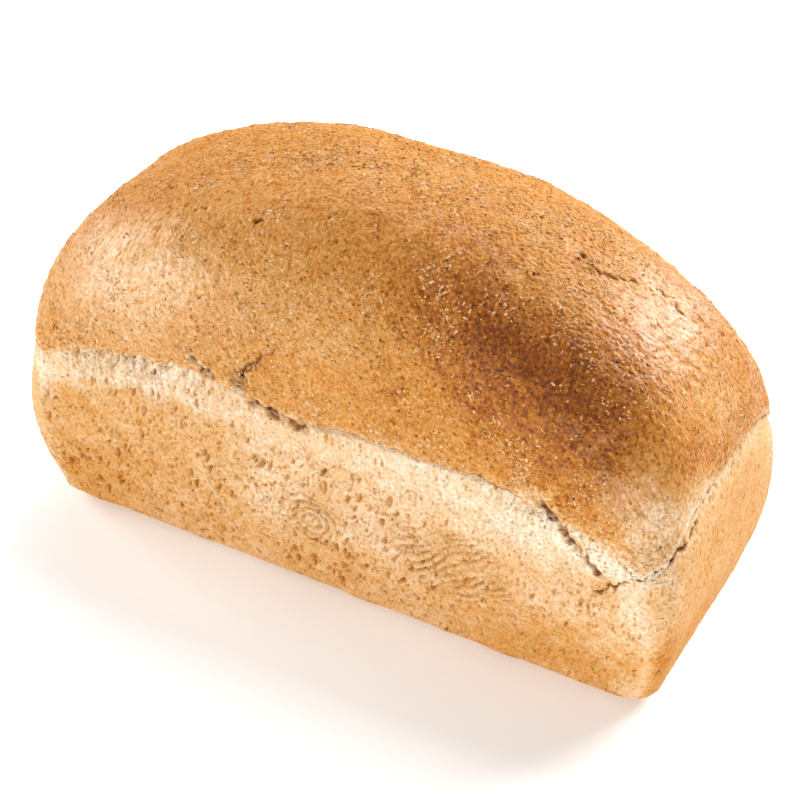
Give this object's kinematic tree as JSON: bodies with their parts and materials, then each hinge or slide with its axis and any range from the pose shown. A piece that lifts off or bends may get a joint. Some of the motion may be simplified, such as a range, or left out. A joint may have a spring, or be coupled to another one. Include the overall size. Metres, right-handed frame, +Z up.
{
  "type": "tin loaf",
  "caption": "Whole uncut loaf baked in a tin: straight pale walls with rounded corners, a torn pale band above the rim and a tall browned dome.",
  "frame": {"origin": "middle of the flat base that the loaf stands on", "axes": "+Z up through the crown, +X along the loaf's length, +Y across it, away from the long side shown"},
  "size_m": [0.2744, 0.1128, 0.1615],
  "materials": {
    "crust": "baked bread crust, mid brown and satin on the dome, pale tan and matt on the tin-formed walls"
  },
  "bodies": {
    "root": {"loaf": "crust"}
  },
  "joints": []
}
